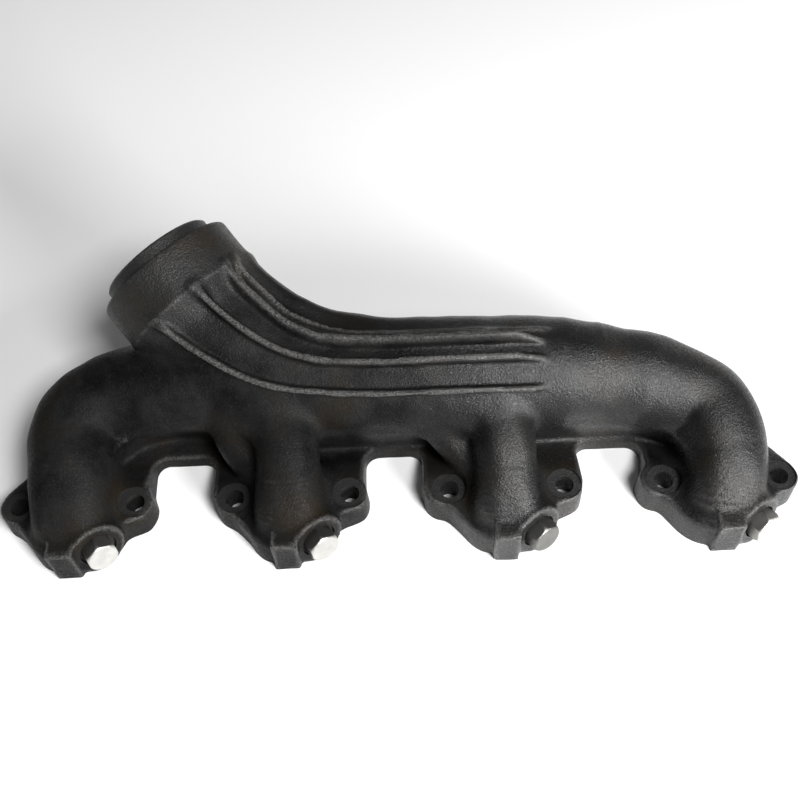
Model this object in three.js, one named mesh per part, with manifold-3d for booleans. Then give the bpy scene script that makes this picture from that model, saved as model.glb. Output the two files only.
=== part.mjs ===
// Cast-iron log manifold for one bank of a V8: four ports on one flange face, a finned log that
// turns up into a round outlet, and four hex plugs that close the air-injection ports.
// Millimetres. +X runs along the flange towards the closed end, +Y from the ports towards the log,
// +Z away from the cylinder head. The origin is on the head face, on the web above the middle window.
import * as THREE from "three";
import { mergeVertices } from "three/addons/utils/BufferGeometryUtils.js";
import Module from "manifold-3d";

// Driving dimensions
const portCount = 4;
const portPitch = 124.5;
const portWidth = 33;
const portHeight = 54;
const boltSpread = 66.7; // hole to hole across one port
const boltHole = 11;
const boltSeat = 20; // spot face under a bolt head
const boltSeatHeight = 16.5; // from the head face
const earThickness = 18;
const earRadius = 10.6;
const earReaches = [0, 0, 4.5, 4.5]; // the left ears of the far two lobes are longer
const lobeShift = -2; // the lobes stand a little to one side of their bolt pairs
const lobeHalfWidth = 43.5; // with its ears
const lobeFoot = 32; // how far a lobe reaches below the bolt line
const webThickness = 9;
const webBottom = 32.2; // top edge of the windows, above the bolt line
const webTop = 50.8;
const webEnd = 14; // how far inside the end ports the web stops
const footHeight = 29; // solid foot between the web and the log
const windowRound = 8;
const rim = 1.5; // chamfer round the collar and the seat
const windowShifts = [-3.5, -2.8, 1.8]; // the windows aren't quite midway between their ports
const windowWidths = [36, 33.6, 38.4];
const windowLeans = [-1.5, 1.7, 4.5]; // how far a window's right side leans in at the bottom
const padWidth = 12;
const padReach = 38.2;
const padDepth = 13;
const padHeight = 28;
const wall = 5.5;

const logHeight = 46; // log axis above the head face
const logOffset = 61; // log axis above the bolt line
const logRadius = 33;
const logTip = 29.5; // log radius where the far elbow joins it
const neckRadius = 35;
const outletCentre = new THREE.Vector3(-129.6, 112.3, 90.7);
const outletAxis = new THREE.Vector3(-0.598, 0.655, 0.463).normalize();
const collarRadius = 42;
const collarLength = 27;
const seatRadius = 34.5;
const seatLength = 8.5;
const outletBore = 54;

const finThickness = 3.2;
const finCrest = 42; // crest radius of the two tall fins about the log axis
const lowFinCrest = 37;
const shoulderThickness = 18; // broad rib that carries the neck's back into the collar
const finEnd = 88; // where the fins stop, along X

const plugAcross = 16.8; // across the flats of the hex
const plugHead = 9.7;
const plugChamfer = 1.4;
const plugShank = 16;
const plugShankLength = 11;
const plugGap = 0.35; // clearance all round the shank and under the head
const bossRadius = 15.8; // its lower edge all but touches the head face
const bossDepth = 2; // spot-faced recess in the boss mouth
const bossHeight = 15.9; // boss axis above the head face
const bossReach = 26; // how far the boss and its hole run back into the lobe
const bossRim = 5.3; // width of the ring round the recess
const bossMouth = new THREE.Vector3(15.4, -28.2, bossHeight); // from the port centre
const bossAxis = new THREE.Vector3(0.539, -0.816, 0.207).normalize();
const plugCorner = plugAcross / Math.sqrt(3); // centre to corner of the hex
const recessRadius = Math.max(bossRadius - bossRim, plugCorner + plugGap); // clears the head

const wasm = await Module();
wasm.setup();

// A closed three.js geometry as a solid: only positions count, and triangles with no area go.
function solid(geometry) {
  geometry.deleteAttribute("normal");
  geometry.deleteAttribute("uv");
  const merged = mergeVertices(geometry, 1e-4);
  const index = merged.index.array;
  const kept = [];
  for (let i = 0; i < index.length; i += 3) {
    const [a, b, c] = index.slice(i, i + 3);
    if (a !== b && b !== c && c !== a) kept.push(a, b, c);
  }
  return new wasm.Manifold(
    new wasm.Mesh({
      numProp: 3,
      vertProperties: merged.attributes.position.array,
      triVerts: new Uint32Array(kept),
    }),
  );
}

function geometryOf(made) {
  const mesh = made.getMesh();
  const geometry = new THREE.BufferGeometry();
  geometry.setAttribute("position", new THREE.BufferAttribute(mesh.vertProperties, 3));
  geometry.setIndex(new THREE.BufferAttribute(mesh.triVerts, 1));
  return geometry;
}

const join = (solids) => solids.reduce((whole, piece) => whole.add(piece));

function box(x0, x1, y0, y1, z0, z1) {
  const geometry = new THREE.BoxGeometry(x1 - x0, y1 - y0, z1 - z0);
  return solid(geometry.translate((x0 + x1) / 2, (y0 + y1) / 2, (z0 + z1) / 2));
}

// A plan drawn in XY and raised from z0 to z1.
function raised(shape, z0, z1) {
  const options = { depth: z1 - z0, bevelEnabled: false, curveSegments: 5 };
  return solid(new THREE.ExtrudeGeometry(shape, options).translate(0, 0, z0));
}

// A shape turned about the Y axis, then set at a point with Y along the given axis.
function turned(profile, sides, at, axis) {
  const points = profile.map(([r, y]) => new THREE.Vector2(r, y));
  const turn = new THREE.Quaternion().setFromUnitVectors(new THREE.Vector3(0, 1, 0), axis);
  const place = new THREE.Matrix4().compose(at, turn, new THREE.Vector3(1, 1, 1));
  return solid(new THREE.LatheGeometry(points, sides).applyMatrix4(place));
}

const rod = (radius, from, to, sides, at, axis) =>
  turned([[0, from], [radius, from], [radius, to], [0, to]], sides, at, axis);

// Straight-line lookup in a list of [share of the length, value, value...].
function along(stations, s) {
  const next = stations.findIndex(([share]) => share >= s);
  if (next <= 0) return stations[Math.max(next, 0)].slice(1);
  const [before, after] = [stations[next - 1], stations[next]];
  const t = (s - before[0]) / (after[0] - before[0]);
  return before.slice(1).map((value, i) => THREE.MathUtils.lerp(value, after[i + 1], t));
}

// Frames carried along a path without twist, starting from the given side direction.
function framesOn(path, steps, side) {
  const frames = [];
  let across = side.clone();
  for (let i = 0; i <= steps; i++) {
    const tangent = path.getTangentAt(i / steps);
    across = across.clone().addScaledVector(tangent, -across.dot(tangent)).normalize();
    const up = new THREE.Vector3().crossVectors(across, tangent);
    frames.push({ point: path.getPointAt(i / steps), tangent, across, up });
  }
  return frames;
}

// A tube with round or squarish sections. sectionAt(s) gives [half width, half height, squareness]:
// squareness 1 is an ellipse, and smaller values push the sides out towards a rectangle.
function tube(path, side, steps, sides, sectionAt) {
  const geometry = new THREE.CylinderGeometry(1, 1, 1, sides, steps);
  const frames = framesOn(path, steps, side);
  const position = geometry.attributes.position;
  const unit = new THREE.Vector3();
  const swell = (value, power) => Math.sign(value) * Math.abs(value) ** power;
  for (let i = 0; i < position.count; i++) {
    unit.fromBufferAttribute(position, i);
    const step = Math.round((unit.y + 0.5) * steps);
    const [wide, high, power] = sectionAt(step / steps);
    const reach = Math.hypot(unit.x, unit.z);
    const angle = Math.atan2(unit.z, unit.x);
    const { point, across, up } = frames[step];
    const placed = point.clone();
    placed.addScaledVector(across, reach * wide * swell(Math.cos(angle), power));
    placed.addScaledVector(up, reach * high * swell(Math.sin(angle), power));
    position.setXYZ(i, placed.x, placed.y, placed.z);
  }
  return solid(geometry);
}

// A thin wall standing on a path between shares s0 and s1. lieAt(s) gives its angle about the path
// in degrees, measured from the up side, and its crest radius.
function fin(path, side, steps, s0, s1, foot, thickness, lieAt) {
  const geometry = new THREE.BoxGeometry(1, 1, 1, steps, 1, 1);
  const whole = 200;
  const frames = framesOn(path, whole, side);
  const position = geometry.attributes.position;
  for (let i = 0; i < position.count; i++) {
    const share = position.getX(i) + 0.5;
    const frame = frames[Math.round(THREE.MathUtils.lerp(s0, s1, share) * whole)];
    const [degrees, crest] = lieAt(share);
    const angle = THREE.MathUtils.degToRad(degrees);
    const outward = frame.up.clone().multiplyScalar(Math.cos(angle));
    outward.addScaledVector(frame.across, -Math.sin(angle));
    const sideways = new THREE.Vector3().crossVectors(frame.tangent, outward);
    const placed = frame.point.clone();
    placed.addScaledVector(outward, position.getY(i) > 0 ? crest : foot);
    placed.addScaledVector(sideways, position.getZ(i) * thickness);
    position.setXYZ(i, placed.x, placed.y, placed.z);
  }
  return solid(geometry);
}

const smoothPath = (points) =>
  new THREE.CatmullRomCurve3(points.map(([x, y, z]) => new THREE.Vector3(x, y, z)), false, "centripetal");

const ports = Array.from({ length: portCount }, (_, i) => (i - (portCount - 1) / 2) * portPitch);
const [firstPort, lastPort] = [ports[0], ports[portCount - 1]];
const xAxis = new THREE.Vector3(1, 0, 0);
const yAxis = new THREE.Vector3(0, 1, 0);
const zAxis = new THREE.Vector3(0, 0, 1);
const below = -6; // where the tubes start, under the head face that trims them
const runnerSides = 14;

// Flange: lobes with an ear at each side, joined by the web over the windows.
function lobePlan(port) {
  const middle = port + lobeShift;
  const [left, right] = [port - boltSpread / 2, port + boltSpread / 2];
  const top = 0.8 * webBottom;
  const slope = 0.25 * earRadius; // the end ears narrow towards the elbows
  const plan = new THREE.Shape();
  plan.moveTo(left - earRadius, 0);
  plan.absarc(left, 0, earRadius, Math.PI, 1.4 * Math.PI, false);
  plan.lineTo(middle - 0.55 * lobeHalfWidth, -0.72 * lobeFoot);
  plan.quadraticCurveTo(middle - 0.4 * lobeHalfWidth, -lobeFoot, middle - padWidth / 2, -lobeFoot);
  plan.lineTo(middle + padWidth / 2, -lobeFoot);
  plan.quadraticCurveTo(
    middle + 0.45 * lobeHalfWidth, -lobeFoot, middle + 0.66 * lobeHalfWidth, -0.5 * lobeFoot);
  plan.absarc(right, 0, earRadius, 1.7 * Math.PI, 2 * Math.PI, false);
  plan.lineTo(port === lastPort ? right - slope : middle + portPitch / 2, top);
  plan.lineTo(port === firstPort ? left + slope : middle - portPitch / 2, top);
  plan.closePath();
  return plan;
}

function webPlan() {
  const plan = new THREE.Shape();
  plan.moveTo(firstPort + webEnd, 0);
  plan.lineTo(lastPort - webEnd, 0);
  plan.lineTo(lastPort - webEnd, webTop);
  plan.lineTo(firstPort + webEnd, webTop);
  plan.closePath();
  return plan;
}

// Plan of the solid foot that carries the log and the elbows down to the web.
function footPlan() {
  const low = webBottom + 3.5;
  const plan = new THREE.Shape();
  plan.moveTo(firstPort, 20);
  plan.lineTo(firstPort + 12, 20);
  plan.quadraticCurveTo(firstPort + 28, 47, firstPort + 56, 47);
  plan.quadraticCurveTo(firstPort + 78, 47, firstPort + 94, low);
  plan.lineTo(lastPort - 54, low);
  plan.quadraticCurveTo(lastPort - 28, low, lastPort - 14, 14);
  plan.lineTo(lastPort, 14);
  plan.lineTo(lastPort, 40);
  plan.lineTo(lastPort - 45, logOffset - 3);
  plan.lineTo(firstPort + 40, logOffset);
  plan.lineTo(firstPort, 40);
  plan.closePath();
  return plan;
}

function windowPlan(middle, width, lean) {
  const [x0, x1, top] = [middle - width / 2, middle + width / 2, webBottom];
  const plan = new THREE.Shape();
  plan.moveTo(x0, -2 * padReach);
  plan.lineTo(x1 - lean, -2 * padReach);
  plan.lineTo(x1 - lean, -earRadius);
  plan.lineTo(x1, top - windowRound);
  plan.absarc(x1 - windowRound, top - windowRound, windowRound, 0, Math.PI / 2, false);
  plan.absarc(x0 + windowRound, top - windowRound, windowRound, Math.PI / 2, Math.PI, false);
  plan.closePath();
  return plan;
}

const windows = windowShifts.map((shift, i) => [
  ports[i] + portPitch / 2 + shift,
  windowWidths[i],
  windowLeans[i],
]);

// The log's axis: straight over the ports, then turning up and out to the outlet.
const beforeOutlet = (distance) => outletCentre.clone().addScaledVector(outletAxis, -distance).toArray();
const mainPath = smoothPath([
  [lastPort - 54, logOffset - 3, logHeight - 2],
  [lastPort - 95, logOffset - 1, logHeight - 0.5],
  [40, logOffset, logHeight],
  [-15, logOffset + 0.5, logHeight],
  [-48, logOffset + 3, logHeight + 2.5],
  [-74, logOffset + 9.3, logHeight + 9.7],
  [-96, logOffset + 20.4, logHeight + 21],
  beforeOutlet(28),
  beforeOutlet(0),
]);
const mainSection = (less) => (s) => {
  const stations = [[0, logTip], [0.25, logRadius], [0.62, logRadius], [0.8, neckRadius], [1, neckRadius]];
  const radius = along(stations, s)[0] - less;
  return [radius, radius, 1];
};

// The runners. Every section is [share, half width, half height, squareness].
const portSection = [portWidth / 2 + wall, portHeight / 2 + wall];
const innerRunner = (port) => smoothPath([
  [port + lobeShift / 2, -1, below],
  [port + lobeShift / 2, 0, 12],
  [port + lobeShift / 2, 10, 27],
  [port + lobeShift / 2 - 1.5, 27, 36],
  [port + lobeShift / 2 - 10, 43, 41],
  [port + lobeShift / 2 - 36, logOffset - 5, logHeight - 1],
]);
const innerStations = [
  [0, ...portSection, 0.55],
  [0.19, 20.5, 31, 0.65],
  [0.42, 17.8, 22.5, 0.8],
  [0.62, 18.5, 19, 0.9],
  [1, 20, 20, 1],
];
const firstElbow = smoothPath([
  [firstPort + lobeShift / 2, -1, below],
  [firstPort + lobeShift / 2, 0, 12],
  [firstPort - 1.5, 16, 27],
  [firstPort - 3, 38, 32],
  [firstPort + 4.5, 52.5, 35],
  [firstPort + 22, 61, 38],
  [firstPort + 48, 64, 41],
  [firstPort + 76, 65.5, 46],
  [firstPort + 102, logOffset + 8, logHeight + 7],
]);
const lastElbow = smoothPath([
  [lastPort + lobeShift / 2, -1, below],
  [lastPort + lobeShift / 2, 0, 12],
  [lastPort + 1.5, 16, 27],
  [lastPort - 6.5, 41, 34],
  [lastPort - 32, 52.5, 39.5],
  [lastPort - 62, logOffset - 3, logHeight - 2],
]);
const elbowStations = [
  [0, ...portSection, 0.55],
  [0.12, 22.5, 31, 0.65],
  [0.26, 23.5, 25, 0.85],
  [0.5, 25, 25.5, 1],
  [1, 28.5, 28.5, 1],
];
const sections = (stations, less) => (s) => {
  const [wide, high, power] = along(stations, s);
  return [wide - less, high - less, power];
};

const runners = ports.map((port, i) => {
  if (i === 0) return { path: firstElbow, stations: elbowStations, steps: 11 };
  if (i === portCount - 1) return { path: lastElbow, stations: elbowStations, steps: 10 };
  return { path: innerRunner(port), stations: innerStations, steps: 7 };
});
const runnerTube = ({ path, stations, steps }, less) =>
  tube(path, xAxis, steps, runnerSides, sections(stations, less));

// Fins: shares of the main path, and the lie of each one from its closed-end tip to the collar.
const finShare = (lastPort - 54 - finEnd) / mainPath.getLength();
const collarShare = 1 - (0.9 * collarLength) / mainPath.getLength();
const fins = [
  {
    thickness: finThickness,
    lie: [[0, 3, 33], [0.08, 3, finCrest], [0.62, 3, finCrest], [1, -8, finCrest]],
  },
  {
    thickness: finThickness,
    lie: [[0, 22, 33], [0.08, 22, finCrest], [1, 24, finCrest]],
  },
  {
    thickness: finThickness,
    lie: [[0, 50, 33], [0.05, 50, lowFinCrest], [0.6, 51, lowFinCrest], [1, 66, 41]],
  },
  {
    thickness: shoulderThickness,
    lie: [[0, -48, 26], [0.4, -48, 31], [0.7, -48, 41], [1, -48, 42]],
  },
];

function casting() {
  const body = [];
  const lobes = ports.map((port) => raised(lobePlan(port), 0, earThickness));
  let flange = join([raised(webPlan(), 0, webThickness), ...lobes]);
  for (const place of windows) {
    flange = flange.subtract(raised(windowPlan(...place), -1, earThickness + 1));
  }
  const bolts = ports.flatMap((port) => [port - boltSpread / 2, port + boltSpread / 2]);
  const over = earThickness + 30; // clear of everything above the ears
  bolts.forEach((x, i) => {
    const reach = i % 2 ? 0 : earReaches[i / 2];
    body.push(rod(earRadius, 0, earThickness, 16, new THREE.Vector3(x - reach, 0, 0), zAxis));
  });
  for (const port of ports) {
    const x = port + lobeShift - 1;
    body.push(box(x - padWidth / 2, x + padWidth / 2, -padReach, padDepth - padReach, 0, padHeight));
    const mouth = bossMouth.clone().setX(bossMouth.x + port);
    body.push(rod(bossRadius, -bossReach, 0, 16, mouth, bossAxis));
  }
  for (const runner of runners) body.push(runnerTube(runner, 0));
  body.push(tube(mainPath, yAxis, 20, 22, mainSection(0)));
  body.push(raised(footPlan(), 0, footHeight));
  for (const { lie, thickness } of fins) {
    const lieAt = (s) => along(lie, s);
    body.push(fin(mainPath, yAxis, 14, finShare, collarShare, logTip - wall, thickness, lieAt));
  }
  body.push(
    turned(
      [
        [0, -collarLength - 7],
        [neckRadius, -collarLength - 7],
        [collarRadius, -collarLength],
        [collarRadius, -rim],
        [collarRadius - rim, 0],
        [seatRadius, 0],
        [seatRadius, 0.7 * seatLength],
        [seatRadius - rim, seatLength],
        [0, seatLength],
      ],
      28,
      outletCentre,
      outletAxis,
    ),
  );
  let iron = join([flange, ...body]);

  const cuts = [];
  for (const runner of runners) cuts.push(runnerTube(runner, wall));
  cuts.push(tube(mainPath, yAxis, 14, 16, mainSection(wall + 0.5)));
  cuts.push(rod(outletBore / 2, -30, seatLength + 1, 24, outletCentre, outletAxis));
  for (const x of bolts) {
    const foot = new THREE.Vector3(x, 0, 0);
    cuts.push(rod(boltHole / 2, -1, over, 12, foot, zAxis));
    cuts.push(rod(boltSeat / 2, boltSeatHeight, over, 16, foot, zAxis));
  }
  for (const port of ports) {
    const mouth = bossMouth.clone().setX(bossMouth.x + port);
    cuts.push(rod(recessRadius, -bossDepth, 2, 16, mouth, bossAxis));
    cuts.push(rod(plugShank / 2 + plugGap, -bossReach, 1, 16, mouth, bossAxis));
  }
  cuts.push(box(-400, 400, -200, 300, -60, 0));
  for (const cut of cuts) iron = iron.subtract(cut);
  return iron;
}

// Hex-head pipe plug: head outside the recess, plain shank in the boss.
function plug(port) {
  const mouth = bossMouth.clone().setX(bossMouth.x + port);
  const seat = -bossDepth + plugGap;
  const hex = new THREE.Shape();
  for (let i = 0; i < 6; i++) {
    const angle = (i * Math.PI) / 3;
    const corner = [Math.cos(angle), Math.sin(angle)].map((c) => c * plugCorner);
    if (i) hex.lineTo(...corner);
    else hex.moveTo(...corner);
  }
  const head = new THREE.ExtrudeGeometry(hex, { depth: plugHead, bevelEnabled: false });
  head.rotateX(-Math.PI / 2).translate(0, seat, 0);
  const turn = new THREE.Quaternion().setFromUnitVectors(yAxis, bossAxis);
  head.applyMatrix4(new THREE.Matrix4().compose(mouth, turn, new THREE.Vector3(1, 1, 1)));
  const top = seat + plugHead;
  const cone = turned(
    [
      [0, seat - 1],
      [plugCorner + 1, seat - 1],
      [plugCorner + 1, top - plugChamfer],
      [plugAcross / 2 - 0.5, top],
      [0, top],
    ],
    24,
    mouth,
    bossAxis,
  );
  const shank = rod(plugShank / 2, seat - plugShankLength, seat + 1, 16, mouth, bossAxis);
  return solid(head).intersect(cone).add(shank);
}

const castIron = new THREE.MeshStandardMaterial({ color: 0x26272a, roughness: 0.72, metalness: 0.55 });
const bareSteel = new THREE.MeshStandardMaterial({ color: 0xb9bab5, roughness: 0.4, metalness: 0.9 });

const manifold = new THREE.Group();
const onBoltLine = new THREE.Group(); // everything above is measured from the bolt line
onBoltLine.position.set(-lobeShift, -(webBottom + webTop) / 2, 0);
manifold.add(onBoltLine);

function add(name, made, material) {
  const mesh = new THREE.Mesh(geometryOf(made), material);
  mesh.name = name;
  onBoltLine.add(mesh);
}

add("manifold_casting", casting(), castIron);
ports.forEach((port, i) => add(`air_port_plug_${i + 1}`, plug(port), bareSteel));

export default manifold;
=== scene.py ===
import bpy
import numpy as np
from mathutils import Matrix


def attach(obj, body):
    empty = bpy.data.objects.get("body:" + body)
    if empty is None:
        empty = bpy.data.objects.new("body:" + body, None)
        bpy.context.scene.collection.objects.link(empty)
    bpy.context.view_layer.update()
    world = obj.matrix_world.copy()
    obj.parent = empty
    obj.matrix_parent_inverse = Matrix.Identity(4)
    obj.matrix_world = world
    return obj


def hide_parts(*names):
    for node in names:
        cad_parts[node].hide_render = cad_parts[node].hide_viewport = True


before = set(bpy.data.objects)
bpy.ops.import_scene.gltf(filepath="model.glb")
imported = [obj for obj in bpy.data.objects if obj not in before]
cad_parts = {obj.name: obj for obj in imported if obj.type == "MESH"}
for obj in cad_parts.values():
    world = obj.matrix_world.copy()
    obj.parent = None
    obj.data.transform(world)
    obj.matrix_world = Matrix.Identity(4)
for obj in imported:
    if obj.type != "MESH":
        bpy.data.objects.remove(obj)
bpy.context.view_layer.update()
scene = bpy.context.scene
metres = 0.001  # shapes are worked out in millimetres from the bolt line, as the part's own sizes are
fromBoltLine = np.array([2.0, -41.5, 0.0])  # bolt line to the origin on the web

skin = {
    "spacing": 1.3,
    "triangles": 186000,
    "waves": 0.2,  # height of the slow waves in the cast skin
    "waveLength": 26.0,
    "waveCount": 7,
    "far": 40.0,  # what a field holds where nothing is near
    "sharpAngle": 40.0,
}
# the corners of the grid, whose floor is under the head face
low = np.array([-237.0, -46.0, -6.0])
high = np.array([237.0, 151.0, 134.0])


# A field holds how far each point is from a surface, less than nothing inside it.
def blendIn(a, b, radius):
    # two shapes joined, with a fillet: the smaller distance, less a quarter of the squared overlap of the two
    if radius <= 0:
        return np.minimum(a, b)
    near = np.maximum(radius - np.abs(a - b), 0) / radius
    return np.minimum(a, b) - near * near * radius / 4


def cutFrom(a, b, radius):
    return -blendIn(-a, b, radius)


def insidePlan(x, y, plan):
    # distance to a closed polygon: to its nearest side, and below nothing inside it
    best = np.full(np.broadcast(x, y).shape, 1e9, np.float32)
    inside = np.zeros(best.shape, bool)
    for (x0, y0), (x1, y1) in zip(plan, np.roll(plan, -1, axis=0)):
        dx, dy = x1 - x0, y1 - y0
        along = np.clip(((x - x0) * dx + (y - y0) * dy) / (dx * dx + dy * dy + 1e-12), 0, 1)
        best = np.minimum(best, (x - x0 - along * dx) ** 2 + (y - y0 - along * dy) ** 2)
        crosses = (y0 > y) != (y1 > y)
        inside ^= crosses & (x < dx * (y - y0) / (dy if dy else 1e-12) + x0)
    return np.where(inside, -1, 1) * np.sqrt(best)


def raised(side, z, z0, z1, edge):
    # a plan's distance carried up from z0 to z1, its edges rounded
    up = np.abs(z - (z0 + z1) / 2) - (z1 - z0) / 2 + edge
    side = side + edge
    return np.minimum(np.maximum(side, up), 0) + np.hypot(np.maximum(side, 0), np.maximum(up, 0)) - edge


def arc(cx, cy, radius, start, end, count=10):
    angle = np.linspace(start, end, count) * np.pi
    return np.stack([cx + radius * np.cos(angle), cy + radius * np.sin(angle)], 1)


def bend(a, b, c, count=8):
    # a quadratic curve from a to c, pulled towards b
    t = np.linspace(0, 1, count)[:, None]
    return (1 - t) ** 2 * np.array(a) + 2 * t * (1 - t) * np.array(b) + t * t * np.array(c)


def smoothPath(points):
    # a centripetal Catmull-Rom curve through the points, sampled evenly along its length
    points = np.array(points, float)
    whole = np.vstack([2 * points[0] - points[1], points, 2 * points[-1] - points[-2]])
    t = np.linspace(0, 1, 40, endpoint=False)[:, None]  # samples between two points
    pieces = []
    for p0, p1, p2, p3 in zip(whole, whole[1:], whole[2:], whole[3:]):
        d0, d1, d2 = (np.sqrt(np.linalg.norm(b - a)) for a, b in ((p0, p1), (p1, p2), (p2, p3)))
        m1 = ((p1 - p0) / d0 - (p2 - p0) / (d0 + d1) + (p2 - p1) / d1) * d1
        m2 = ((p2 - p1) / d1 - (p3 - p1) / (d1 + d2) + (p3 - p2) / d2) * d1
        cubic = 2 * p1 - 2 * p2 + m1 + m2
        square = -3 * p1 + 3 * p2 - 2 * m1 - m2
        pieces.append(cubic * t**3 + square * t**2 + m1 * t + p1)
    dense = np.vstack(pieces + [points[-1:]])
    gone = np.concatenate([[0], np.cumsum(np.linalg.norm(np.diff(dense, axis=0), axis=1))])
    count = int(gone[-1] / pipes["spacing"]) + 1
    even = np.linspace(0, gone[-1], count)
    return np.stack([np.interp(even, gone, dense[:, i]) for i in range(3)], 1), gone[-1]


def framed(points, side):
    # frames carried along a path without twist, from the given side direction
    path, length = smoothPath(points)
    tangent = np.gradient(path, axis=0)
    tangent /= np.linalg.norm(tangent, axis=1)[:, None]
    across = np.empty_like(path)
    now = np.array(side, float)
    for i, t in enumerate(tangent):
        now = now - t * now.dot(t)
        now /= np.linalg.norm(now)
        across[i] = now
    up = np.cross(across, tangent)
    return {"path": path, "tangent": tangent, "across": across, "up": up, "length": length}


def besidePath(frames, points):
    # each point's share along the path, its place across and up from it, and how far it lies past an end
    path = frames["path"].astype(np.float32)
    step = frames["length"] / (len(path) - 1)
    share = np.empty(len(points), np.float32)
    across = np.empty_like(share)
    up = np.empty_like(share)
    past = np.empty_like(share)
    half = (path**2).sum(1) / 2
    batch, wellInside = 60000, -60
    for start in range(0, len(points), batch):
        here = slice(start, start + batch)
        p = points[here]
        nearest = np.argmin(half - p @ path.T, axis=1)
        along = ((p - path[nearest]) * frames["tangent"][nearest]).sum(1) / step
        place = np.clip(nearest + along, 0, len(path) - 1)
        first = np.minimum(place.astype(int), len(path) - 2)
        part = (place - first)[:, None]
        near = [frames[key][first] * (1 - part) + frames[key][first + 1] * part
                for key in ("path", "across", "up", "tangent")]
        offset = p - near[0]
        share[here] = place / (len(path) - 1)
        across[here] = (offset * near[1]).sum(1)
        up[here] = (offset * near[2]).sum(1)
        out = (offset * near[3]).sum(1)
        past[here] = np.where(place <= 0, -out, np.where(place >= len(path) - 1, out, wellInside))
    return share, across, up, past


def tubeAt(where, stations, endRound):
    # a pipe whose section at each share is a superellipse: distance out from it along the section's own ray
    share, across, up, past = where
    table = np.array(stations, float)
    wide, tall, square = (np.interp(share, table[:, 0], table[:, i]) for i in (1, 2, 3))
    power = 2 / square
    reach = np.hypot(across, up)
    scaled = (np.abs(across / wide) ** power + np.abs(up / tall) ** power) ** (1 / power)
    out = np.where(reach < 0.01, -np.minimum(wide, tall), reach * (1 - 1 / np.maximum(scaled, 1e-4)))
    out, past = out + endRound, past + endRound
    return np.minimum(np.maximum(out, past), 0) + np.hypot(np.maximum(out, 0), np.maximum(past, 0)) - endRound


spacing = skin["spacing"]
axes = [np.arange(a, b, spacing, dtype=np.float32) for a, b in zip(low, high)]
shape = tuple(len(a) for a in axes)
iron = np.full(shape, skin["far"], np.float32)
cores = np.full(shape, skin["far"], np.float32)


def window(lowest, highest):
    # the part of the grid inside a box, and the points there
    span = []
    for a, b, g in zip(lowest, highest, axes):
        first, last = int((a - g[0]) / spacing) - 1, int((b - g[0]) / spacing) + 3
        span.append(slice(max(first, 0), max(last, 0)))
    grid = np.meshgrid(*(g[s] for g, s in zip(axes, span)), indexing="ij")
    return tuple(span), np.stack([g.ravel() for g in grid], 1), grid[0].shape


def join(field, span, distance, fillet):
    field[span] = blendIn(field[span], distance, fillet)


def joinTube(frames, stations, fillet, endRound=0.5, hollow=True):
    margin = 12  # room round the pipe for its fillets
    reach = max(max(s[1], s[2]) for s in stations) + margin
    span, points, size = window(frames["path"].min(0) - reach, frames["path"].max(0) + reach)
    where = besidePath(frames, points)
    outside = tubeAt(where, stations, endRound).reshape(size).astype(np.float32)
    join(iron, span, outside, fillet)
    if hollow:
        less = [(s[0], s[1] - pipes["wall"], s[2] - pipes["wall"], s[3]) for s in stations]
        inside = tubeAt(where, less, endRound).reshape(size).astype(np.float32)
        join(cores, span, inside, pipes["coreFillet"])
    return span, size, where


flange = {
    "ports": np.array([-186.75, -62.25, 62.25, 186.75]),
    "boltSpread": 66.7,
    "earThickness": 18.0,
    "earRadius": 10.6,
    "earReaches": [0.0, 0.0, 4.5, 4.5],  # the left ears of the far lobes are longer
    "lobeShift": -2.0,
    "halfWidth": 43.5,
    "fuller": [-1.8, -1.3, 0.4, 2.2],  # how much further each lobe's left flank swells
    "foot": 32.0,
    "webThickness": 9.0,
    "webBottom": 32.2,
    "webTop": 50.0,
    "webEnd": 14.0,
    "footHeight": 33.0,
    # each window's left and right at the top, then 40 lower
    "windows": [(-146.0, -110.0, -146.0, -108.5), (-19.6, 14.0, -19.6, 12.3), (107.1, 145.5, 107.1, 141.0)],
    "windowRound": 8.0,
    "edgeRound": 1.8,
    "plateau": (6.0, 34.0),  # the ears' thickness runs down to the web's between these heights
    "draft": 0.05,  # the mould's sides lean in towards the top
    "padSize": (14.6, 13.0, 28.0),
    "padReach": 38.2,
    "padRound": 0.7,
    "padFillet": 2.0,
    "earFillet": 5.0,
    "windowFillet": 4.0,  # where a window meets a bolt ear
    "windowEdge": 2.5,
    "webRound": 1.5,
    "footRound": 2.0,
    "footFillet": 4.0,
    "footLean": 0.2,
    "boltHole": 5.5,
    "spotFace": 10.0,
    "spotHeight": 16.5,
    "below": -8.0,  # blocks start under the head face, and are machined off at it
    "stock": 3.6,  # iron left under the head face for that
}
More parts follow.
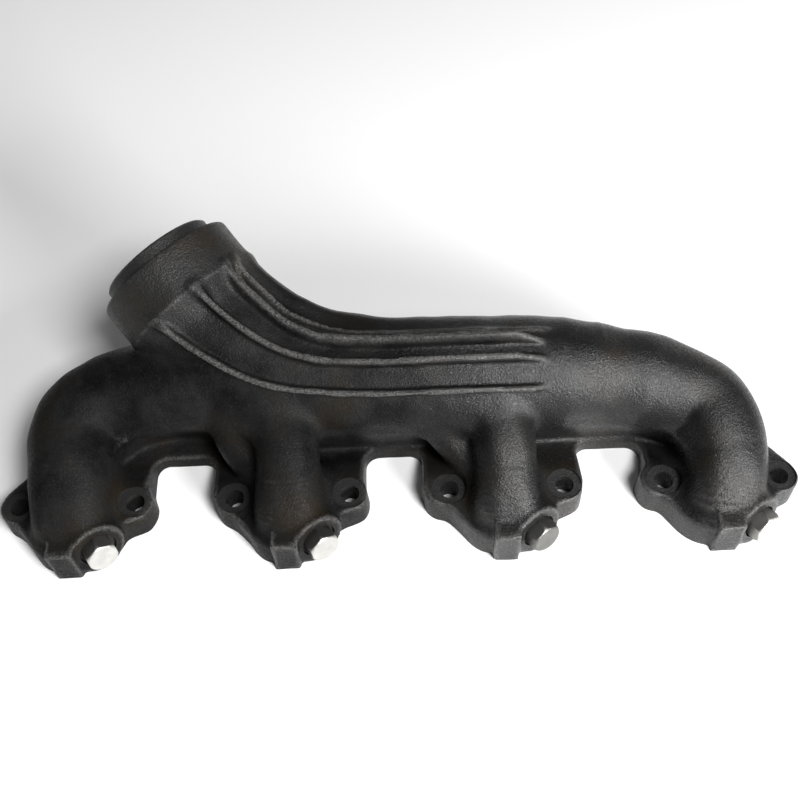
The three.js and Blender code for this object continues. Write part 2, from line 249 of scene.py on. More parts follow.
pipes = {
    "wall": 5.5,
    "logHeight": 46.0,
    "logOffset": 61.0,
    # share of the length, radius
    "logStations": [(0, 20), (0.05, 28.5), (0.12, 32), (0.22, 33), (0.62, 33), (0.8, 35), (1, 35)],
    "logEndRound": 9.0,
    # share, half width, half height, squareness: 1 is an ellipse, less is squarer
    "innerStations": [
        (0, 22, 32.5, 0.55), (0.19, 20.5, 31, 0.65), (0.34, 17.8, 23, 0.8),
        (0.5, 18.5, 19.5, 0.9), (0.8, 19.5, 19.5, 1), (1, 17, 17, 1),
    ],
    "flankStations": [(0, 8, 8, 1), (0.2, 10, 10, 1), (0.6, 12, 12, 1), (0.8, 11, 11, 1), (1, 9, 9, 1)],
    "elbowStations": [
        (0, 22, 32.5, 0.55), (0.12, 22.5, 31, 0.65), (0.26, 23.5, 25, 0.85), (0.5, 25, 25.5, 1),
        (0.7, 28.5, 28.5, 1), (0.84, 27, 27, 1), (1, 15, 15, 1),
    ],
    "spacing": 1.8,  # between samples along a path
    "fillet": 9.0,
    "innerFillet": 7.0,
    "flankFillet": 6.0,
    "coreFillet": 5.0,
    "coreEdge": 1.2,
}
ports = flange["ports"]
halfPitch = (ports[1] - ports[0]) / 2
bolts = np.sort(np.concatenate([ports - flange["boltSpread"] / 2, ports + flange["boltSpread"] / 2]))
flatX, flatY = np.meshgrid(axes[0], axes[1], indexing="ij")
upZ = axes[2][None, None, :]


def lobePlan(port):
    middle = port + flange["lobeShift"]
    half, foot, ear = flange["halfWidth"], flange["foot"], flange["earRadius"]
    left, right = port - flange["boltSpread"] / 2, port + flange["boltSpread"] / 2
    top = 0.8 * flange["webBottom"]
    ends = [middle + halfPitch, middle - halfPitch]
    fuller = flange["fuller"][int(np.argmin(np.abs(ports - port)))]
    return np.vstack([
        arc(left, 0, ear, 1, 1.4),
        bend((middle - 0.55 * half - fuller, -0.72 * foot),
             (middle - 0.4 * half - fuller, -foot), (middle - 6, -foot)),
        bend((middle + 6, -foot), (middle + 0.45 * half, -foot), (middle + 0.66 * half, -0.5 * foot)),
        arc(right, 0, ear, 1.7, 2),
        [(right + 7, 12), (right + 1, 25)] if port == ports[-1] else [(ends[0], top)],
        [(left - 1, 25), (left - 7, 12)] if port == ports[0] else [(ends[1], top)],
    ])


def footPlan():
    first, last, lowest = ports[0], ports[-1], flange["webBottom"] + 3.5
    offset = pipes["logOffset"]
    return np.vstack([
        [(first, 20), (first + 12, 20)],
        bend((first + 12, 20), (first + 28, 47), (first + 56, 47)),
        bend((first + 56, 47), (first + 78, 47), (first + 94, lowest)),
        bend((last - 54, lowest), (last - 28, lowest), (last - 14, 14)),
        [(last, 14), (last, 40), (last - 45, offset - 3), (first + 40, offset), (first, 40)],
    ])


def windowPlan(left, right, lowLeft, lowRight):
    top, r = flange["webBottom"], flange["windowRound"]
    low = [(lowLeft, -90), (lowLeft, top - 40), (lowRight, top - 40), (lowRight, -90)]
    return np.vstack([
        low[:1], low[3:], low[2:3],
        arc(right - r, top - r, r, 0, 0.5), arc(left + r, top - r, r, 0.5, 1),
        low[1:2],
    ])


print("flange")
lobes = np.full(flatX.shape, 1e3)
for port in ports:
    lobes = np.minimum(lobes, insidePlan(flatX, flatY, lobePlan(port)))
web = insidePlan(flatX, flatY, np.array([
    (ports[0] + flange["webEnd"], 0), (ports[-1] - flange["webEnd"], 0),
    (ports[-1] - flange["webEnd"], flange["webTop"]), (ports[0] + flange["webEnd"], flange["webTop"])]))
openings = np.full(flatX.shape, 1e3)
for sides in flange["windows"]:
    openings = np.minimum(openings, insidePlan(flatX, flatY, windowPlan(*sides)))
ears = np.full(flatX.shape, 1e3)
for i, x in enumerate(bolts):
    reach = 0 if i % 2 else flange["earReaches"][i // 2]
    ears = np.minimum(ears, np.hypot(flatX - x + reach, flatY) - flange["earRadius"])
    ears = np.minimum(ears, np.hypot(flatX - x + reach / 2, flatY) - flange["earRadius"])
openings = cutFrom(openings, ears, flange["windowFillet"])
everywhere = (slice(None),) * 3
lean = flange["draft"] * upZ
plate = raised(web[..., None], upZ, flange["below"], flange["webThickness"], flange["webRound"])
slopeStart, slopeEnd = flange["plateau"]
slope = np.clip((flatY - slopeStart) / (slopeEnd - slopeStart), 0, 1)
step = flange["earThickness"] - flange["webThickness"]
thickness = flange["earThickness"] - step * slope**2 * (3 - 2 * slope)
both = np.minimum(blendIn(lobes, ears, flange["earFillet"]), web)
lobeBlocks = raised(both[..., None] + lean, upZ, flange["below"], thickness[..., None], flange["edgeRound"])
plate = cutFrom(np.minimum(plate, lobeBlocks), openings[..., None] - lean, flange["windowEdge"])
join(iron, everywhere, plate.astype(np.float32), 0)
foot = insidePlan(flatX, flatY, footPlan())
footSide = foot[..., None] - flange["footLean"] * (upZ - flange["webThickness"])
footBlock = raised(footSide, upZ, flange["below"], flange["footHeight"], flange["footRound"])
join(iron, everywhere, footBlock, flange["footFillet"])

print("runners and log")
outlet = {
    "centre": np.array([-129.6, 112.3, 90.7]),
    "axis": np.array([-0.598, 0.655, 0.463]) / np.linalg.norm([-0.598, 0.655, 0.463]),
    "neck": 35.0,
    "collar": 42.5,
    "length": 27.0,
    "seat": 34.5,
    "seatLength": 8.5,
    "bore": 27.0,
    "rim": 1.2,
    "edgeRound": 1.3,
    "fillet": 5.0,
    "straight": 28.0,  # how far the pipe runs straight before its mouth
    "boreReach": 30.0,
}


def innerPath(port):
    # the runner sweeps towards the outlet, and deeper where the log has begun to turn up
    x = port + flange["lobeShift"] / 2
    last = [(x - 26, 44, 43.5), (x - 54, 48, 44.5)]
    if port == ports[1]:
        last = [(x - 26, 49, 43.5), (x - 50, 64, 45)]
    return [(x, -1, -6), (x, 0, 12), (x, 10, 27), (x - 1, 25, 37), (x - 8, 37, 41.5)] + last


def flankPath(port):
    # the solid web of iron along the runner's outlet side
    x = port + flange["lobeShift"] / 2
    last = [(x - 41, 41, 35), (x - 54, 52, 43)]
    if port == ports[1]:
        last = [(x - 38, 46, 36), (x - 47, 60, 43)]
    return [(x - 8, -6, 8), (x - 12, 3, 12), (x - 18, 14, 18), (x - 28, 27, 25)] + last


a, b = ports[0], ports[-1]
offset, height = pipes["logOffset"], pipes["logHeight"]
firstElbow = [(a - 1, -1, -6), (a - 1, 0, 12), (a - 1.5, 16, 27), (a - 3, 38, 32), (a + 4.5, 52.5, 35),
              (a + 22, 61, 38), (a + 48, 64, 41), (a + 76, 65.5, 46), (a + 102, offset + 8, height + 7)]
lastElbow = [(b - 1, -1, -6), (b - 1, 0, 12), (b + 1.5, 16, 27), (b - 6.5, 41, 34),
             (b - 32, 52.5, 39.5), (b - 58, 57.5, 43), (b - 90, offset, height)]
beforeOutlet = [tuple(outlet["centre"] - d * outlet["axis"]) for d in (outlet["straight"], 0)]
mainLine = [(b - 54, offset - 3, height - 2), (b - 95, offset - 1, height - 0.5), (40, offset, height),
            (-15, offset + 0.5, height), (-48, offset + 3, height + 2.5),
            (-74, offset + 9.3, height + 9.7), (-96, offset + 20.4, height + 21)] + beforeOutlet
joinTube(framed(firstElbow, (1, 0, 0)), pipes["elbowStations"], pipes["fillet"])
joinTube(framed(lastElbow, (1, 0, 0)), pipes["elbowStations"], pipes["fillet"])
for port in ports[1:3]:
    joinTube(framed(flankPath(port), (1, 0, 0)), pipes["flankStations"], pipes["flankFillet"], hollow=False)
    joinTube(framed(innerPath(port), (1, 0, 0)), pipes["innerStations"], pipes["innerFillet"])
mainFrames = framed(mainLine, (0, 1, 0))
logStations = [(s, r, r, 1) for s, r in pipes["logStations"]]
mainSpan, mainSize, (share, across, up, past) = joinTube(
    mainFrames, logStations, pipes["fillet"], pipes["logEndRound"])

print("fins")
fins = {
    "walls": [
        # lie: share of the fin from its closed-end tip, degrees about the log, crest radius
        {"half": 1.6, "round": 0.7, "fillet": 1.6,
         "lie": [(0, 3, 31), (0.09, 3, 42), (0.62, 3, 42), (1, -8, 42.5)]},
        {"half": 1.6, "round": 0.7, "fillet": 1.6,
         "lie": [(0, 22, 31), (0.09, 22, 42), (1, 24, 42.5)]},
        {"half": 1.6, "round": 0.7, "fillet": 1.6,
         "lie": [(0, 50, 31), (0.05, 50, 37), (0.6, 50, 37.5), (1, 66, 41.5)]},
        {"half": 1.0, "round": 0.6, "fillet": 2.5,
         "lie": [(0, -12, 33.5), (0.04, -12, 34.4), (0.5, -13, 35), (1, -20, 43.2)]},
        {"half": 9.0, "round": 5.0, "fillet": 8.0,
         "lie": [(0, -48, 26), (0.4, -48, 31.5), (0.55, -48, 37), (0.7, -48, 41), (1, -48, 42.5)]},
    ],
    "draft": 0.04,
    "start": 44.75,  # from the closed end of the log, along it
    "stop": 0.9,  # of the outlet's length, back from its mouth
    "root": 20.0,  # from the log's middle, as a fin has no far side
}
for wall in fins["walls"]:
    table = np.array(wall["lie"], float)
    start = fins["start"] / mainFrames["length"]
    finish = 1 - fins["stop"] * outlet["length"] / mainFrames["length"]
    part = (share - start) / (finish - start)
    angle = np.radians(np.interp(part, table[:, 0], table[:, 1]))
    crest = np.interp(part, table[:, 0], table[:, 2])
    out = up * np.cos(angle) - across * np.sin(angle)
    beside = np.abs(up * np.sin(angle) + across * np.cos(angle))
    thick = beside - wall["half"] - fins["draft"] * np.maximum(crest - out, 0) + wall["round"]
    tall = out - crest + wall["round"]
    ends = (np.abs(part - 0.5) - 0.5) * mainFrames["length"] * (finish - start) + wall["round"]
    inward = fins["root"] - out
    most = np.maximum(np.maximum(thick, tall), np.maximum(ends, inward))
    rounded = np.sqrt(np.maximum(thick, 0) ** 2 + np.maximum(tall, 0) ** 2 + np.maximum(ends, 0) ** 2)
    rounded -= wall["round"]
    distance = np.where(inward > 0, np.maximum(inward, most), np.minimum(most, 0) + rounded)
    join(iron, mainSpan, distance.reshape(mainSize).astype(np.float32), wall["fillet"])

print("outlet, pads and bosses")
span, points, size = window(outlet["centre"] - 75, outlet["centre"] + 60)
fromCentre = points - outlet["centre"].astype(np.float32)
y = fromCentre @ outlet["axis"].astype(np.float32)
r = np.sqrt(np.maximum((fromCentre**2).sum(1) - y * y, 0))
inset = outlet["edgeRound"]
neckEdge, collarEdge = outlet["neck"] - inset, outlet["collar"] - inset
seatEnd = outlet["seatLength"] + 1
collarPlan = np.array([
    (-5, -outlet["length"] - 9), (neckEdge, -outlet["length"] - 8), (collarEdge, -outlet["length"] + 1.5),
    (collarEdge, -inset), (outlet["seat"], seatEnd), (-5, seatEnd)])
collar = (insidePlan(r, y, collarPlan) - inset).reshape(size)
join(iron, span, collar.astype(np.float32), outlet["fillet"])
mouthCore = np.maximum(r - outlet["bore"], np.abs(y) - outlet["boreReach"]).reshape(size)
join(cores, span, mouthCore.astype(np.float32), 0)

plugs = {
    "mouth": np.array([15.4, -28.2, 15.9]),  # of the boss, from the port
    "axis": np.array([0.539, -0.816, 0.207]) / np.linalg.norm([0.539, -0.816, 0.207]),
    "boss": 15.8,
    "bossEdge": 0.8,
    "bossFillet": 3.5,
    "reach": 26.0,
    "recess": 10.5,
    "recessDepth": 2.0,
    "across": 16.8,
    "head": 9.7,
    "crown": 3.2,  # the head's end rounds off over this height
    "crownRise": 0.95,
    "endInset": 0.4,  # the end face stops this much inside the flats
    "dish": 0.15,  # the middle of the end face lies this much lower
    "dishShare": 0.62,  # of the half width, where that level middle begins
    "endDepth": 0.9,  # how far down the end face's bright steel reaches
    "shank": 8.0,
    "shankLength": 11.0,
    "gap": 0.35,
    "sharpAngle": 30.0,
    # how bright each end face is, and the share of it that the head's sides keep
    "tones": [(0.62, 0.3), (0.58, 0.22), (0.2, 0.8), (0.62, 0.4)],
}
padWide, padDeep, padTall = flange["padSize"]
for port in ports:
    x = port + flange["lobeShift"] - 1
    span, points, size = window((x - 20, -50, -6), (x + 20, -15, 40))
    wide = np.abs(points[:, 0] - x) - padWide / 2
    deep = np.abs(points[:, 1] + flange["padReach"] - padDeep / 2) - padDeep / 2
    pad = raised(np.maximum(wide, deep), points[:, 2], flange["below"], padTall, flange["padRound"])
    join(iron, span, pad.reshape(size).astype(np.float32), flange["padFillet"])
    mouth = plugs["mouth"] + (port, 0, 0)
    span, points, size = window(mouth - 40, mouth + 25)
    offsetFrom = points - mouth.astype(np.float32)
    y = offsetFrom @ plugs["axis"].astype(np.float32)
    r = np.sqrt(np.maximum((offsetFrom**2).sum(1) - y * y, 0))
    boss = raised(r - plugs["boss"], y, -plugs["reach"], 0, plugs["bossEdge"])
    join(iron, span, boss.reshape(size).astype(np.float32), plugs["bossFillet"])

print("cores out, and the skin's slow waves")
iron = np.maximum(cutFrom(iron, cores, pipes["coreEdge"]), -flange["stock"] - upZ)
rng = np.random.default_rng(7)
oneWave = skin["waves"] / 2.6  # about the square root of how many there are
for _ in range(skin["waveCount"]):
    way = rng.normal(size=3)
    way *= 2 * np.pi / (skin["waveLength"] * rng.uniform(0.5, 1.3) * np.linalg.norm(way))
    turn = rng.uniform(0, 2 * np.pi)
    waves = way[0] * axes[0][:, None, None] + way[1] * axes[1][None, :, None] + way[2] * upZ
    iron += oneWave * np.sin(waves + turn).astype(np.float32)


def skinOf(field):
    # surface nets: a point in each grid cell the surface crosses, at the mean of its crossings,
    # and a quad across each crossed edge
    inside = field < 0
    cells = tuple(n - 1 for n in field.shape)
    total = cells[0] * cells[1] * cells[2]
    sums, count, quads = np.zeros((3, total)), np.zeros(total), []
    for axis in range(3):
        one = [slice(None)] * 3
        two = [slice(None)] * 3
        one[axis], two[axis] = slice(0, -1), slice(1, None)
        crossed = np.argwhere(inside[tuple(one)] != inside[tuple(two)])
        other = [i for i in range(3) if i != axis]
        sideways = crossed[:, other]
        crossed = crossed[(sideways > 0).all(1) & (sideways < np.array(cells)[other]).all(1)]
        far = crossed.copy()
        far[:, axis] += 1
        f0, f1 = field[tuple(crossed.T)], field[tuple(far.T)]
        at = crossed.astype(float)
        at[:, axis] += f0 / (f0 - f1)
        ids = []
        for back in ((1, 1), (0, 1), (0, 0), (1, 0)):
            cell = crossed.copy()
            cell[:, other[0]] -= back[0]
            cell[:, other[1]] -= back[1]
            ids.append(np.ravel_multi_index(cell.T, cells))
            for i in range(3):
                sums[i] += np.bincount(ids[-1], at[:, i], total)
            count += np.bincount(ids[-1], minlength=total)
        quad = np.stack(ids, 1)
        flip = (f0 < 0) == (axis == 1)
        quad[flip] = quad[flip][:, ::-1]
        quads.append(quad)
    used = np.flatnonzero(count)
    number = np.full(total, -1)
    number[used] = np.arange(len(used))
    return (sums[:, used] / count[used]).T, number[np.vstack(quads)]


def makeMesh(name, points, faces):
    # points in millimetres from the bolt line; faces all with the same number of corners
    mesh = bpy.data.meshes.new(name)
    corners = faces.shape[1]
    mesh.vertices.add(len(points))
    mesh.vertices.foreach_set("co", ((points + fromBoltLine) * metres).astype(np.float32).ravel())
    mesh.loops.add(faces.size)
    mesh.loops.foreach_set("vertex_index", faces.astype(np.int32).ravel())
    mesh.polygons.add(len(faces))
    mesh.polygons.foreach_set("loop_start", np.arange(0, faces.size, corners, dtype=np.int32))
    mesh.update(calc_edges=True)
    mesh.validate()
    made = bpy.data.objects.new(name, mesh)
    scene.collection.objects.link(made)
    return made


print("skin")
points, quads = skinOf(iron)
points = points * spacing + low
edges = np.sort(np.vstack([quads[:, [i, (i + 1) % 4]] for i in range(4)]), axis=1)
odd = np.unique(edges, axis=0, return_counts=True)[1]
print("skin", len(points), "points, edges shared by other than two faces:", int((odd != 2).sum()))
casting = makeMesh("iron_casting", points, quads)


def circleRound(axis, sides):
    # the angles of points evenly round an axis, and the directions to them
    side = np.cross(axis, (0.0, 0.0, 1.0) if abs(axis[2]) < 0.9 else (1.0, 0.0, 0.0))
    side /= np.linalg.norm(side)
    angle = np.arange(sides) * 2 * np.pi / sides
    return angle, np.cos(angle)[:, None] * side + np.sin(angle)[:, None] * np.cross(axis, side)


def ringFaces(rows, sides):
    # quads between one ring of points and the next, and a fan to the first and the last point of all
    turn = np.arange(sides)
    here = 1 + np.arange(rows - 1)[:, None] * sides + turn
    beside = 1 + np.arange(rows - 1)[:, None] * sides + (turn + 1) % sides
    faces = [tuple(f) for f in np.stack([here, beside, beside + sides, here + sides], -1).reshape(-1, 4)]
    faces += [(0, 1 + (i + 1) % sides, 1 + i) for i in turn]
    last, top = 1 + (rows - 1) * sides, 1 + rows * sides
    return faces + [(top, last + i, last + (i + 1) % sides) for i in turn]


def turned(profile, at, axis, sides):
    # a closed profile of (radius, height) turned about an axis; both ends lie on the axis
    profile = np.array(profile, float)
    radius, height = profile[1:-1, 0][:, None, None], profile[1:-1, 1][:, None, None]
    ring = radius * circleRound(axis, sides)[1] + height * axis
    ends = [at + profile[i, 1] * axis for i in (0, -1)]
    points = np.vstack([ends[0], (ring + at).reshape(-1, 3), ends[1]])
    return points, ringFaces(len(profile) - 2, sides)


def gather(name, shapes):
    # several closed shapes as one mesh
    allPoints, allFaces, start = [], [], 0
    for points, faces in shapes:
        allPoints.append(points)
        allFaces += [tuple(i + start for i in f) for f in faces]
        start += len(points)
    mesh = bpy.data.meshes.new(name)
    mesh.from_pydata(((np.vstack(allPoints) + fromBoltLine) * metres).tolist(), [], allFaces)
    made = bpy.data.objects.new(name, mesh)
    scene.collection.objects.link(made)
    return made


print("machining")
zAxis = np.array([0.0, 0.0, 1.0])
plan = ((-300, -150), (300, -150), (300, 250), (-300, 250))  # wider than the whole casting
corners = np.array([(x, y, z) for z in (-40, 0) for x, y in plan], float)
sides = [(3, 2, 1, 0), (4, 5, 6, 7), (0, 1, 5, 4), (1, 2, 6, 5), (2, 3, 7, 6), (3, 0, 4, 7)]
headPlane = gather("head_plane", [(corners, sides)])
cutters = []
hole, spot, seat = flange["boltHole"], flange["spotFace"], flange["spotHeight"]
boltCut = [(0, -3), (hole, -3), (hole, seat), (spot, seat), (spot, 60), (0, 60)]
for x in bolts:
    cutters.append(turned(boltCut, np.array([x, 0, 0]), zAxis, 40))
hole, recess = plugs["shank"] + plugs["gap"], plugs["recess"]
reach, deep = plugs["reach"], plugs["recessDepth"]
bossCut = [(0, -reach), (hole, -reach), (hole, -deep), (recess, -deep), (recess + 0.5, 6), (0, 6)]
for port in ports:
    cutters.append(turned(bossCut, plugs["mouth"] + (port, 0, 0), plugs["axis"], 48))
bore, seat, tall, rim = outlet["bore"], outlet["seat"], outlet["seatLength"], outlet["rim"]
reach = outlet["boreReach"]
outletCut = [(0, -reach), (bore, -reach), (bore, tall - 1), (bore + 1, tall), (seat - rim, tall),
             (seat, tall - rim), (seat, 0), (60, 0), (60, 30), (0, 30)]
cutters.append(turned(outletCut, outlet["centre"], outlet["axis"], 96))
tools = gather("tools", cutters)

thin = casting.modifiers.new("thin", "DECIMATE")
thin.ratio = min(1.0, skin["triangles"] / (2 * len(quads)))
for tool in (headPlane, tools):
    cut = casting.modifiers.new("cut", "BOOLEAN")
    cut.operation = "DIFFERENCE"
    cut.solver = "MANIFOLD"
    cut.object = tool
finished = bpy.data.meshes.new_from_object(casting.evaluated_get(bpy.context.evaluated_depsgraph_get()))
casting.modifiers.clear()
casting.data = finished
for tool in (headPlane, tools):
    bpy.data.objects.remove(tool)
print("casting", len(finished.polygons), "faces")
finished.shade_smooth()
finished.set_sharp_from_angle(angle=np.radians(skin["sharpAngle"]))


def sampled(field, places):
    # the field between its grid points: each of the eight round a place, by how near it is
    at = (places - low) / spacing
    first = np.clip(at.astype(int), 0, np.array(field.shape) - 2)
    part = at - first
    value = np.zeros(len(at))
    for corner in np.ndindex(2, 2, 2):
        share = np.prod(np.where(corner, part, 1 - part), axis=1)
        value += share * field[tuple((first + corner).T)]
    return value


# Worn edges, also lightened as a painted highlight on the crests: the field's second differences summed,
# which is the skin's curvature.
# Machined faces: wherever the finished surface lies under the cast skin.
maskLimits = {"bulge": 0.17, "bulgeSpan": 0.28, "depth": 0.5, "depthSpan": 0.4}
bulge = np.zeros_like(iron)
for axis in range(3):
    bulge += (np.roll(iron, 2, axis) + np.roll(iron, -2, axis) - 2 * iron) / (2 * spacing) ** 2
places = np.empty(3 * len(finished.vertices), np.float32)
finished.vertices.foreach_get("co", places)
places = places.reshape(-1, 3) / metres - fromBoltLine
under = sampled(iron, places)
masks = {
    "worn": np.clip((sampled(bulge, places) - maskLimits["bulge"]) / maskLimits["bulgeSpan"], 0, 1),
    "machined": np.clip((-under - maskLimits["depth"]) / maskLimits["depthSpan"], 0, 1),
}
masks["worn"] *= 1 - masks["machined"]
for name, mask in masks.items():
    attribute = finished.attributes.new(name, "FLOAT", "POINT")
    attribute.data.foreach_set("value", mask.astype(np.float32))
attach(casting, "root")
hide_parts("manifold_casting")


def plugShape(mouth, axis):
    # a hex head as a radius over angle and height, the smaller of the hex and its rounded end,
    # on a plain shank
    sides = 96
    angle, circle = circleRound(axis, sides)
    flat, shank = plugs["across"] / 2, np.full(sides, plugs["shank"])
    hexagon = flat / np.cos((angle + np.pi / 6) % (np.pi / 3) - np.pi / 6)
    seat = -plugs["recessDepth"] + plugs["gap"]
    top = seat + plugs["head"]
    heights = [seat - plugs["shankLength"], seat - plugs["shankLength"] + 1, seat, seat, seat + 0.5]
    radii = [shank - 1, shank, shank, np.minimum(hexagon, flat + 0.7), np.minimum(hexagon, flat + 1.2)]
    for drop in np.linspace(plugs["crown"], 0, 9):
        heights.append(top - drop)
        radii.append(np.minimum(hexagon, flat - plugs["endInset"] + plugs["crownRise"] * np.sqrt(drop)))
    heights.append(top - plugs["dish"])
    radii.append(np.full(sides, plugs["dishShare"] * flat))
    ring = np.array(radii)[:, :, None] * circle + np.array(heights)[:, None, None] * axis
    points = np.vstack([[heights[0] * axis], ring.reshape(-1, 3), [heights[-1] * axis]]) + mouth
    return points, ringFaces(len(heights), sides)


print("plugs")
plugPieces = []
for i, port in enumerate(ports, 1):
    piece = gather(f"hex_plug_{i}", [plugShape(plugs["mouth"] + (port, 0, 0), plugs["axis"])])
    piece.data.shade_smooth()
    piece.data.set_sharp_from_angle(angle=np.radians(plugs["sharpAngle"]))
    points = piece.data.vertices
    heights = np.empty(3 * len(points), np.float32)
    points.foreach_get("co", heights)
    heights = (heights.reshape(-1, 3) / metres - fromBoltLine - plugs["mouth"] - (port, 0, 0)) @ plugs["axis"]
    end = piece.data.attributes.new("end", "FLOAT", "POINT")
    end.data.foreach_set("value", (heights > heights.max() - plugs["endDepth"]).astype(np.float32))
    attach(piece, "root")
    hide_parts(f"air_port_plug_{i}")
    plugPieces.append(piece)


class Socket:
    # an output of a shader node, with arithmetic written as plain Python
    def __init__(self, maker, out):
        self.maker, self.out = maker, out

    def math(self, operation, *values):
        return self.maker.node("ShaderNodeMath", {"operation": operation}, list(values))

    def __add__(self, other):
        return self.math("ADD", self, other)

    def __radd__(self, other):
        return self.math("ADD", other, self)

    def __sub__(self, other):
        return self.math("SUBTRACT", self, other)

    def __rsub__(self, other):
        return self.math("SUBTRACT", other, self)

    def __mul__(self, other):
        return self.math("MULTIPLY", self, other)

    def __rmul__(self, other):
        return self.math("MULTIPLY", other, self)


class Finish:
    def __init__(self, name):
        self.material = bpy.data.materials.new(name)
        self.material.use_nodes = True
        self.nodes = self.material.node_tree.nodes
        self.links = self.material.node_tree.links
        self.shader = self.nodes["Principled BSDF"]

    def node(self, kind, settings=None, values=None, output=0):
        # settings first, such as a ramp's stops, then socket values or links, by place or by name
        made = self.nodes.new(kind)
        for key, value in (settings or {}).items():
            if key == "stops":
                while len(made.color_ramp.elements) < len(value):
                    made.color_ramp.elements.new(0.5)
                for stop, (place, colour) in zip(made.color_ramp.elements, value):
                    stop.position = place
                    stop.color = (*colour, 1) if isinstance(colour, tuple) else (colour, colour, colour, 1)
            else:
                setattr(made, key, value)
        pairs = enumerate(values) if isinstance(values, list) else (values or {}).items()
        for key, value in pairs:
            self.feed(made.inputs[key], value)
        return Socket(self, made.outputs[output])

    def feed(self, target, value):
        if isinstance(value, Socket):
            self.links.new(value.out, target)
        else:
            target.default_value = value

    def set(self, **values):
        for key, value in values.items():
            self.feed(self.shader.inputs[key.replace("_", " ")], value)

    def shadedCopy(self, share, specular):
        # the same finish with less shine, mixed in by share: a shaded copy, for painted shade
        less = self.nodes.new("ShaderNodeBsdfPrincipled")
        for name in ("Base Color", "Roughness", "Normal"):
            self.links.new(self.shader.inputs[name].links[0].from_socket, less.inputs[name])
        less.inputs["Specular IOR Level"].default_value = specular
        both = self.nodes.new("ShaderNodeMixShader")
        self.feed(both.inputs[0], share)
        self.links.new(self.shader.outputs[0], both.inputs[1])
        self.links.new(less.outputs[0], both.inputs[2])
        self.links.new(both.outputs[0], self.nodes["Material Output"].inputs["Surface"])

    def place(self):
        return self.node("ShaderNodeTexCoord", output="Object")

    def along(self, axis):
        return self.node("ShaderNodeSeparateXYZ", values=[self.place()], output=axis)

    def attribute(self, name):
        return self.node("ShaderNodeAttribute", {"attribute_name": name}, output="Fac")

    def noise(self, scale, detail=2.0, rough=0.5):
        values = {"Vector": self.place(), "Scale": scale, "Detail": detail, "Roughness": rough}
        return self.node("ShaderNodeTexNoise", values=values)

    def ramp(self, value, stops):
        return self.node("ShaderNodeValToRGB", {"stops": stops}, {"Fac": value})

    def mixed(self, share, one, two):
        # the Mix node keeps its colour sockets after those for numbers and vectors
        one, two = ((*c, 1) if isinstance(c, tuple) else c for c in (one, two))
        return self.node("ShaderNodeMix", {"data_type": "RGBA"}, {0: share, 6: one, 7: two}, output=2)

    def bump(self, height, distance, strength=1.0):
        values = {"Height": height, "Distance": distance, "Strength": strength}
        return self.node("ShaderNodeBump", values=values)


ironLook = {
    "dark": (0.003, 0.003, 0.0035),
    "brown": (0.012, 0.009, 0.006),
    "olive": (0.010, 0.010, 0.010),
    "grain": (0.040, 0.039, 0.036),
    # the crests' colour: partly wear, partly a painted highlight
    "edge": (0.075, 0.074, 0.072),
    "machined": (0.022, 0.022, 0.022),
    "patchScale": 26.0,
    "grainScale": 950.0,
    "coarseScale": 300.0,
    "bump": 0.0006,
    "specular": 0.36,
    "crestGloss": 0.08,  # how much smoother the crests are, where wear and the painted highlight lie
    # the shine left where shade is painted on the outlet's half
    "blackSpecular": 0.05,
}


def castIron():
    f = Finish("sand cast iron")
    patches = f.noise(ironLook["patchScale"], 3, 0.6)
    grain = f.noise(ironLook["grainScale"], 3, 0.65)
    coarse = f.noise(ironLook["coarseScale"], 2, 0.5)
    tone = f.ramp(patches, [(0.36, ironLook["dark"]), (0.52, ironLook["olive"]), (0.70, ironLook["brown"])])
    rubbed = f.ramp(grain, [(0.5, 0.0), (0.72, 1.0)])
    colour = f.mixed(rubbed * 0.3, tone, ironLook["grain"])
    edges, machined = f.attribute("worn"), f.attribute("machined")
    # the crests lightened, partly as wear and partly as a painted highlight, broken up by the grain
    colour = f.mixed(edges * f.ramp(grain, [(0.38, 0.15), (0.6, 1.0)]), colour, ironLook["edge"])
    colour = f.mixed(machined * 0.8, colour, ironLook["machined"])
    smooth = f.ramp(grain, [(0.36, 0.42), (0.53, 0.29), (0.63, 0.13)])
    dull = f.ramp(f.along("X") * 2.2 + 0.5, [(0.1, 0.14), (0.75, 0.0)])  # the outlet's half is duller
    bumps = f.bump(grain * 0.8 + coarse * 0.45, ironLook["bump"])
    f.set(Base_Color=colour, Metallic=0.0, Specular_IOR_Level=ironLook["specular"],
          Roughness=smooth + dull - edges * ironLook["crestGloss"], Normal=bumps)
    # painted shade: the outlet's half is blacker than the rest, but for the collar
    collar = tuple((outlet["centre"] + fromBoltLine) * metres)
    away = f.node("ShaderNodeVectorMath", {"operation": "DISTANCE"}, [f.place(), collar], output="Value")
    leftward = f.ramp(0.5 - f.along("X") * 4, [(0.28, 0.0), (0.48, 0.8), (0.74, 0.97)])
    f.shadedCopy(leftward * f.ramp(away * 10, [(0.42, 0.1), (0.62, 1.0)]), ironLook["blackSpecular"])
    return f.material


steelLook = {
    "blotchScale": 160.0,
    "grainScale": 1200.0,
    "bump": 0.0002,
    "bumpStrength": 0.4,
    "metallic": 0.9,
    "roughness": (0.5, 0.37),  # in the dull blotches and in the bright ones
}


def bareSteel(name, bright, share):
    # bright blotched steel on the head's end face, and a share of that brightness on its sides
    f = Finish(name)
    tint = (bright, 0.99 * bright, 0.94 * bright)
    blotches = f.noise(steelLook["blotchScale"])
    grain = f.noise(steelLook["grainScale"])
    colour = f.mixed(f.ramp(blotches, [(0.3, 0.0), (0.7, 1.0)]), tuple(0.8 * c for c in tint), tint)
    colour = f.mixed(f.attribute("end"), tuple(share * c for c in tint), colour)
    roughness = f.ramp(blotches, list(zip((0.3, 0.7), steelLook["roughness"])))
    f.set(Base_Color=colour, Metallic=steelLook["metallic"], Roughness=roughness,
          Normal=f.bump(grain, steelLook["bump"], steelLook["bumpStrength"]))
    return f.material


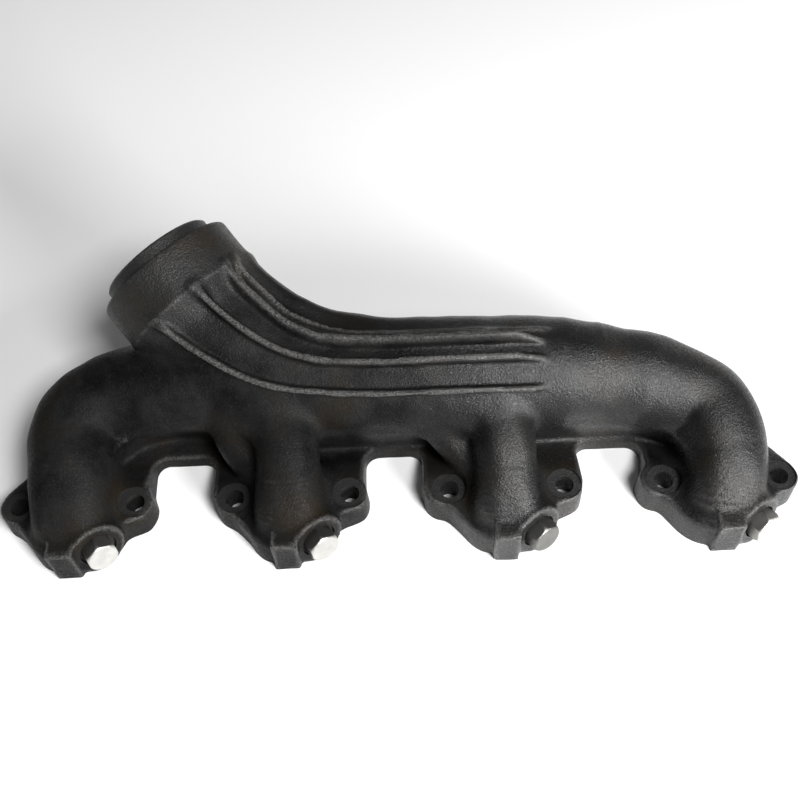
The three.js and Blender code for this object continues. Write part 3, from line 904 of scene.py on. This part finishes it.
print("finishes")
casting.data.materials.clear()
casting.data.materials.append(castIron())
for piece, (bright, share) in zip(plugPieces, plugs["tones"]):
    piece.data.materials.append(bareSteel(piece.name + " steel", bright, share))
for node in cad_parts.values():
    for slot in node.material_slots:
        slot.material = casting.data.materials[0]

print("stage")
stage = {
    "floorHalf": 4.0,
    "roomLight": 0.13,
    # each light's place, what it points at, its sides and its power
    "front window": ((1.25, -1.45, 0.75), (0.12, 0, 0.03), (0.8, 0.6), 62),
    "high window": ((0.5, -0.6, 1.2), (0.1, 0, 0.03), (0.45, 0.45), 20),
}
view = {
    "lens": 45,
    "spot": (0.0033145, -0.3131, 0.5316),
    "right": (0.99910, -0.03658, -0.02139),
    "upward": (0.04233, 0.83768, 0.54451),
    "back": (-0.00200, -0.54493, 0.83848),
}
h = stage["floorHalf"]
floorMesh = bpy.data.meshes.new("floor")
floorMesh.from_pydata([(-h, -h, 0), (h, -h, 0), (h, h, 0), (-h, h, 0)], [], [(0, 1, 2, 3)])
floor = bpy.data.objects.new("floor", floorMesh)
scene.collection.objects.link(floor)
floorFinish = Finish("pale floor")
floorFinish.set(Base_Color=(0.9, 0.9, 0.9, 1), Roughness=0.9)
floorMesh.materials.append(floorFinish.material)


def stand(thing, right, upward, back, place):
    # an object's own directions and its place are the columns of its matrix
    turn = np.eye(4)
    turn[:3] = np.stack([right, upward, back, place], 1)
    thing.matrix_world = Matrix(turn.tolist())


def softLight(name):
    place, aim, size, power = stage[name]
    light = bpy.data.lights.new(name, "AREA")
    light.shape = "RECTANGLE"
    light.size, light.size_y = size
    light.energy = power
    made = bpy.data.objects.new(name, light)
    scene.collection.objects.link(made)
    back = np.array(place, float) - np.array(aim, float)
    back /= np.linalg.norm(back)
    right = np.cross((0, 0, 1), back)
    right /= np.linalg.norm(right)
    stand(made, right, np.cross(back, right), back, place)


softLight("front window")
softLight("high window")
world = bpy.data.worlds.new("soft room")
scene.world = world
world.use_nodes = True
background = world.node_tree.nodes["Background"].inputs
background["Color"].default_value = (1, 1, 1, 1)
background["Strength"].default_value = stage["roomLight"]
scene.view_settings.view_transform = "Standard"

camera = bpy.data.objects.new("camera", bpy.data.cameras.new("camera"))
scene.collection.objects.link(camera)
camera.data.lens = view["lens"]
camera.data.sensor_width = 36
camera.data.clip_start = 0.01
stand(camera, view["right"], view["upward"], view["back"], view["spot"])
scene.camera = camera

print("done")
